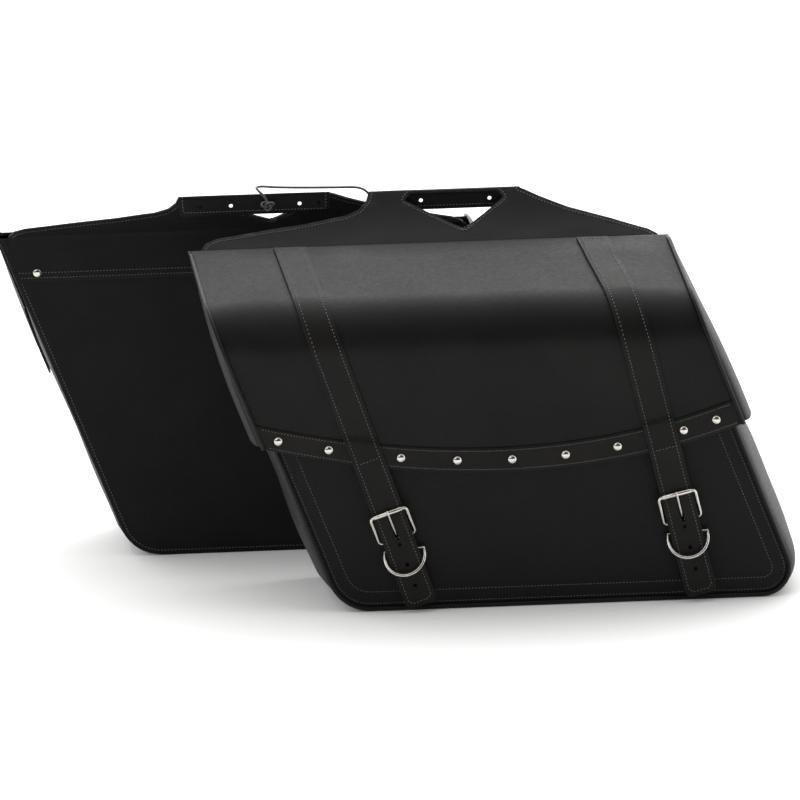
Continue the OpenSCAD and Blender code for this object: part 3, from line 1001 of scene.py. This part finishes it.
def strap_axes(which, place):
    """Turns Z to run across the strap, at a place (out, up) in its frame."""
    x_axis = Vector((math.cos(strap_slant[which]), 0, math.sin(strap_slant[which])))
    turn = Matrix((Vector((0, 1, 0)), x_axis.cross(Vector((0, 1, 0))), x_axis)).transposed().to_4x4()
    return Matrix.Translation(strap_to_bag(which, 0, *place)) @ turn


def buckle_set(side, which):
    key = f"{side}_{which}"
    tail = f"{key}_strap_tail"
    heel_up = buckle_up[which]
    bar_out, bar_up = roller_out, heel_up + roller_rise
    ring_up = heel_up + ring_rise
    corners = [(-frame_half, bar_out, bar_up), (frame_half, bar_out, bar_up),
               (frame_half, heel_out, heel_up), (-frame_half, heel_out, heel_up)]
    wire = tube(place_in_strap(which, round_corners(corners, 4.5)), wire_r - 0.15, closed=True)
    frame_piece = finish_piece(wire, f"{key}_buckle_frame", side, [bright_nickel], tail)
    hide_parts(f"{key}_buckle")

    half = strap_w / 2 - 1.2
    section = [(roller_r - 0.5, -half), (roller_r, -half + 0.5), (roller_r - 0.12, 0),
               (roller_r, half - 0.5), (roller_r - 0.5, half), (wire_r, half), (wire_r, -half)]
    spun = lathe(section, strap_axes(which, (bar_out, bar_up)))
    roller = finish_piece(spun, f"{key}_buckle_roller", side, [bright_nickel], f"{key}_roller")
    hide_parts(f"{key}_roller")

    prong_r = 1.3
    eye_r = 3.1
    tip = (0, bar_out - roller_r - 2 * prong_r, bar_up + 1.5)
    loop = [(0, heel_out + eye_r * math.sin(a), heel_up - eye_r * math.cos(a))
            for a in [math.radians(20 * i) for i in range(14)]]
    rise = [(0, heel_out + (tip[1] - heel_out) * t - 1.2 * math.sin(math.pi * t), heel_up +
             (tip[2] - heel_up) * t) for t in [0.16 + 0.07 * i for i in range(13)]]
    rise.append((0, tip[1] + 0.3, tip[2] + 2.2))
    wire = tube(place_in_strap(which, loop[::-1][-9:] + rise), prong_r)
    prong = finish_piece(wire, f"{key}_buckle_prong", side, [bright_nickel], f"{key}_prong")
    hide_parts(f"{key}_prong")

    lean_out, lean_down = math.sin(ring_tilt), math.cos(ring_tilt)
    bow = [(ring_half * math.cos(a), ring_leg + ring_half * math.sin(a))
           for a in [math.pi * i / 24 for i in range(25)]]
    flat = [(ring_half, 0)] + bow + [(-ring_half, 0)]
    hang = strap_slant[which] * ring_upright
    points = []
    for x, d in flat:
        across = x * math.cos(hang) - (d - ring_pivot) * math.sin(hang)
        down = ring_pivot + (d - ring_pivot) * math.cos(hang) + x * math.sin(hang)
        points.append((across, heel_out - d * lean_out, ring_up - down * lean_down))
    wire = tube(place_in_strap(which, points), wire_r - 0.1, closed=True)
    ring = finish_piece(wire, f"{key}_wire_d_ring", side, [bright_nickel], f"{key}_d_ring")
    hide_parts(f"{key}_d_ring")


# %% Leather loops that hold the fittings
def chape(side, which):
    key = f"{side}_{which}"
    radius = wire_r + 0.3 + 1.4
    half_turn = [math.pi * i / 10 for i in range(11)]
    top = [(-radius * math.cos(a), buckle_up[which] + radius * math.sin(a)) for a in half_turn]
    bottom = [(radius * math.cos(a), buckle_up[which] + ring_rise - radius * math.sin(a))
              for a in half_turn]
    line = [Vector((out, up)) for out, up in top + bottom]
    line.append(line[0])
    half, slit = 13.0, 3.0
    bm = bmesh.new()
    across = [-half, -8.0, -slit, slit, 8.0, half]
    grid = [[bm.verts.new(strap_to_bag(which, w, heel_out + p.x, p.y)) for w in across]
            for p in line[:-1]]
    for i, row in enumerate(grid):
        after = grid[(i + 1) % len(grid)]
        for k in range(len(across) - 1):
            if k == 2 and i <= 10:
                continue
            bm.faces.new((row[k], row[k + 1], after[k + 1], after[k]))
    bm.normal_update()
    first = bm.faces[:][0]
    if first.normal.dot(Vector((0, -1, 0))) < 0:
        bmesh.ops.reverse_faces(bm, faces=bm.faces)
    piece = finish_piece(bm, f"{key}_leather_loop", side, [trim_leather], f"{key}_strap_tail")
    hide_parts(f"{key}_chape")
    thicken(piece, 1.4, edge=0.3)


def anchor_patch(side, which):
    def where(w, rise):
        place = strap_to_bag(which, w, 0, buckle_up[which] + rise)
        return front_point(place.x, place.z, 1.6)

    line = round_corners([(-12, -42, 0), (12, -42, 0), (12, 23, 0), (-12, 23, 0)], 4, 4)
    edge = [(p.x, p.y) for p in line]
    bm = bend_shape(cut_shape(edge, [], [-30, -18, -6, 6, 18]), where, (0, -1, 0))
    piece = finish_piece(bm, f"{side}_{which}_patch_leather", side, [trim_leather], f"{side}_bag")
    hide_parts(f"{side}_anchor_patches")
    thicken(piece, 1.5, edge=0.4)
    bm = bmesh.new()
    stitch_line(bm, where, [(-9, -39), (9, -39), (9, 20), (-9, 20), (-9, -39)], pitch=3.2)
    finish_piece(bm, f"{side}_{which}_patch_stitches", side, [black_thread_painted_sheen], f"{side}_bag")


for side in SIDES:
    for which in STRAPS:
        buckle_set(side, which)
        chape(side, which)
        anchor_patch(side, which)

# %% [markdown]
# ## Dome studs
# Nine pressed dome studs run along the trim band. Each is a shallow dome of plated steel.

# %% Studs
stud_shares = [0.04, 0.135] + [0.274 + 0.112 * i for i in range(5)] + [0.869, 0.944]
dome = [(4.75 * math.cos(a), 2.6 * math.sin(a) + 0.35) for a in [math.pi / 2 * i / 8 for i in range(9)]]
dome = [(4.4, 0.0)] + dome


def lid_studs(side):
    merged = bmesh.new()
    for share in stud_shares:
        a = share * lid_length
        middle = lid_end_s(a) + band_below - band_w / 2
        face_out = Matrix.Rotation(math.radians(90), 4, "X")
        stud = lathe([(0.0, 0.0)] + dome, Matrix.Translation(band_point(a, middle)) @ face_out, 20)
        add_part(merged, stud)
    piece = finish_piece(merged, f"{side}_dome_studs", side, [bright_nickel], f"{side}_lid")
    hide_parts(f"{side}_lid_studs")


for side in SIDES:
    lid_studs(side)
print(len(stud_shares), "studs on each lid")

# %% [markdown]
# ## The yoke
# Each half of the yoke is sewn to the top of a back panel. It folds towards the other bag, climbs to the
# crest, and folds down again into a short strip with lacing holes. A window is cut in each half.

# %% Where the yoke lies
flap_low = bag_height - 47
crest_y, crest_z = gap_half - 4.2, 401.0
strip_drop = 22.0
slope_run = math.hypot(crest_y - 0.2, crest_z - bag_height - 3)
crest_q = 50 + slope_run
window_x = {"left": 138.0, "right": 142.0}
flat_profile = [
    (0.2, flap_low), (0.2, bag_height + 3), (crest_y + 0.6, crest_z), (crest_y + 2.5, crest_z - 2.5),
    (crest_y + 2.5, crest_z - strip_drop),
]


def rounded_profile(points, reach=3.0, steps=5):
    """The bent line with soft folds, as (length along the sheet, y, z)."""
    line = [Vector(points[0])]
    for before, here, after in zip(points, points[1:], points[2:]):
        here = Vector(here)
        a = here + (Vector(before) - here).normalized() * min(reach, (Vector(before) - here).length / 2)
        b = here + (Vector(after) - here).normalized() * min(reach, (Vector(after) - here).length / 2)
        line += [a.lerp(here, t).lerp(here.lerp(b, t), t) for t in [k / steps for k in range(steps + 1)]]
    line.append(Vector(points[-1]))
    run, table = 0.0, [(0.0, line[0].x, line[0].y)]
    for a, b in zip(line, line[1:]):
        run += (b - a).length
        if (b - a).length > 1e-6:
            table.append((run, b.x, b.y))
    return table


yoke_line = rounded_profile(flat_profile)
yoke_length = yoke_line[-1][0]


def yoke_point(x, q, off=0.0):
    """A point of the yoke's upper face, q millimetres up the sheet from the sewn edge."""
    q = min(max(q, 0.0), yoke_length - 1e-4)
    k = 0
    while yoke_line[k + 1][0] <= q:
        k += 1
    (q0, y0, z0), (q1, y1, z1) = yoke_line[k], yoke_line[k + 1]
    t = (q - q0) / (q1 - q0)
    along = Vector((y1 - y0, z1 - z0)).normalized()
    ny, nz = -along.y, along.x
    sag = 2.2 * math.sin(math.pi * min(max((q - 50) / slope_run, 0), 1))
    y, z = y0 + (y1 - y0) * t, z0 + (z1 - z0) * t - sag
    wave = 0.8 * leather_wave(x, q, 120, 60) * smooth_step(50, 70, q)
    return Vector((x, y + ny * (off + wave), z + nz * (off + wave)))


def yoke_outline(middle):
    slope = [(-268, 0.0), (-262, 0.16), (-250, 0.25), (-198, 0.38), (-156, 0.47), (-114, 0.6), (-100, 0.7),
             (-92, 0.84), (-89, 0.97)]
    fall = [(70, 0.97), (76, 0.93), (90, 0.82), (119, 0.62), (163, 0.39), (200, 0.16), (209, 0.06),
            (212, 0.0)]
    low_left = -lean * flap_low - flare + 3
    low_right = bag_length - lean * flap_low + flare - 3
    top_left = -lean * (bag_height + 3) - flare + 3
    top_right = bag_length - lean * (bag_height + 3) + flare - 3
    points = [(low_left, 0.0), (low_right, 0.0), (top_right, 49.0)]
    points += [(middle + dx, 50 + share * slope_run) for dx, share in reversed(fall)]
    points += [(middle + 69, yoke_length - 3), (middle + 66, yoke_length), (middle - 85, yoke_length),
               (middle - 88, yoke_length - 3)]
    points += [(max(middle + dx, top_left - 4), 50 + share * slope_run) for dx, share in reversed(slope)]
    return points


def yoke_window(middle):
    far = crest_q - 5.0
    corners = [(-52, far - 7, 0), (-46, far, 0), (46, far, 0), (52, far - 7, 0), (11, 72, 0), (8, 70, 0),
               (5, 72, 0)]
    return [(middle + p.x, p.y) for p in round_corners(corners, 2.5, 3)]


# %% Yoke halves
def shrink(points, by):
    """The outline drawn in by that distance, corner by corner."""
    centre_turn = sum(a[0] * b[1] - b[0] * a[1] for a, b in zip(points, points[1:] + points[:1]))
    turn = 1 if centre_turn > 0 else -1
    inner = []
    for i, (x, y) in enumerate(points):
        before = Vector((x, y)) - Vector(points[i - 1])
        after = Vector(points[(i + 1) % len(points)]) - Vector((x, y))
        n1 = Vector((-before.y, before.x)).normalized()
        n2 = Vector((-after.y, after.x)).normalized()
        mid = (n1 + n2)
        mid = mid.normalized() / max(0.5, mid.normalized().dot(n1)) if mid.length > 1e-6 else n1
        inner.append((x + mid.x * by * turn, y + mid.y * by * turn))
    return inner


def yoke_half(side):
    middle = window_x[side]
    edge = yoke_outline(middle)
    window = yoke_window(middle)
    lace_holes = [circle_points(middle + s, crest_q + 12.0, 2.1, 14) for s in (-66, -34, 38, 58)]
    rows = [4.0 * i + 1.7 for i in range(1, int(yoke_length / 4))]
    rows += [49.0, 51.0, 53.0, crest_q - 2, crest_q, crest_q + 2, crest_q + 4]
    columns = [middle + 20.0 * i + 0.3 for i in range(-14, 13)]
    bm = cut_shape(densify(edge), [densify(window), *lace_holes], rows, columns)
    bend_shape(bm, yoke_point, (0, -1, 1))
    piece = finish_piece(bm, f"{side}_yoke_leather", side, [body_leather, matte_leather], f"{side}_bag")
    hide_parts(f"{side}_yoke")
    thicken(piece, 2.4, edge=0.5, inner_material=1)
    bm = bmesh.new()
    inset = shrink(edge, 4.0)
    rim = [p for p in inset if p[1] > 47]
    around = shrink(window, -3.2) + shrink(window, -3.2)[:1]
    for side_of_sheet in (0.0, -2.4):
        where = lambda x, q: yoke_point(x, q, side_of_sheet)
        flip = side_of_sheet < 0
        stitch_line(bm, where, rim, flip=flip)
        stitch_line(bm, where, around, flip=flip)
    for q in (4.5, 10.0):
        ends = (-lean * (flap_low + q) - flare + 6, bag_length - lean * (flap_low + q) + flare - 6)
        stitch_line(bm, lambda x, h: yoke_point(x, h, -2.4), [(ends[0], q), (ends[1], q)], flip=True)
    finish_piece(bm, f"{side}_yoke_stitches", side, [black_thread_painted_sheen], f"{side}_bag")


# %% Dome rivets near both ends of the yoke's sewn edge
rivet_r = 4.5
rivet_head = [(0.0, 0.0), (rivet_r - 0.2, 0.0), (rivet_r, 0.5)]
rivet_head += [(rivet_r * math.cos(a), 0.6 + 1.8 * math.sin(a)) for a in
               [math.pi / 2 * i / 7 for i in range(8)]]


def yoke_rivets(side):
    merged = bmesh.new()
    up = bag_height - 37
    for x in (-lean * up - flare + 26, bag_length - lean * up + flare - 26):
        place = Matrix.Translation((x, 2.7, up)) @ Matrix.Rotation(math.radians(-90), 4, "X")
        add_part(merged, lathe(rivet_head, place, 20))
    piece = finish_piece(merged, f"{side}_slotted_rivets", side, [bright_nickel], f"{side}_bag")
    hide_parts(f"{side}_yoke_rivets")


for side in SIDES:
    yoke_half(side)
    yoke_rivets(side)

# %% [markdown]
# ## The lace
# One waxed lace runs from a knot at the right half's strip, over its crest, and down between the two halves
# to the left one. It is slack, and the lace itself rides on neither bag.

# %% Lace
lace_r = 1.3
lace_turns = [
    (-120, -0.8, 389), (-122, -0.8, 394), (-125, -0.6, 399), (-129, 0.6, 403), (-131.5, 3, 405.6),
    (-131.5, 6, 406.6), (-128.5, 8.2, 406.9), (-123, 8.2, 406.8), (-114, 5.6, 406.5), (-100, 3, 406.2),
    (-78, 0.5, 405.8), (-48, -1, 405.3), (-30, -1, 404.8), (-21, -0.3, 402.5), (-16, 0, 398.5),
    (-13, 0, 394), (-12, 0, 389),
]


def smooth_path(points, parts=5):
    """A Catmull-Rom line through the points."""
    points = [Vector(p) for p in points]
    padded = [points[0] * 2 - points[1]] + points + [points[-1] * 2 - points[-2]]
    line = []
    for a, b, c, d in zip(padded, padded[1:], padded[2:], padded[3:]):
        for i in range(parts):
            t = i / parts
            line.append(0.5 * (2 * b + (c - a) * t + (2 * a - 5 * b + 4 * c - d) * t * t
                               + (3 * b - a - 3 * c + d) * t ** 3))
    return line + [points[-1]]


lace_path = smooth_path(lace_turns)
lace_length = sum((b - a).length for a, b in zip(lace_path, lace_path[1:])) * MM
lace_bm = tube(lace_path, lace_r)
lace_bm.transform(Matrix.Scale(MM, 4))
lace_piece = finish_piece(lace_bm, "waxed_lace", None, [lace_cord])
knot_path = []
for i in range(48):
    angle = 2 * math.pi * i / 48
    knot_path.append(Vector((
        -121 + 2.3 * (math.sin(angle) + 2 * math.sin(2 * angle)),
        -4.4 + 1.5 * math.sin(3 * angle),
        389 + 1.6 * (math.cos(angle) - 2 * math.cos(2 * angle)),
    )))
knot_bm = tube(knot_path, 1.15, closed=True)
knot_bm.transform(Matrix.Scale(MM, 4))
knot_piece = finish_piece(knot_bm, "lace_knot", None, [lace_cord], "right_bag")
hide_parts("lace")
[tuple(p * MM) for p in lace_path[::-1]]
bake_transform(lace_piece)
print("lace:", round(lace_length * 1000), "mm")

# %% [markdown]
# ## What is kept from the CAD model
# The stiffener boards, the hidden press studs and their sockets are plain hard parts, so the CAD shapes are
# shown as they are, with their real finishes.

# %% Finishes for the hard CAD parts
kept = {f"{side}_stiffener_boards": fibreboard for side in SIDES}
kept.update({f"{side}_press_studs": bright_nickel for side in SIDES})
kept.update({f"{side}_{which}_press_socket": bright_nickel for side in SIDES for which in STRAPS})
for node, material in kept.items():
    for material_slot in nodes[node].material_slots:
        material_slot.material = material
print(len(kept), "CAD parts are shown as they are")
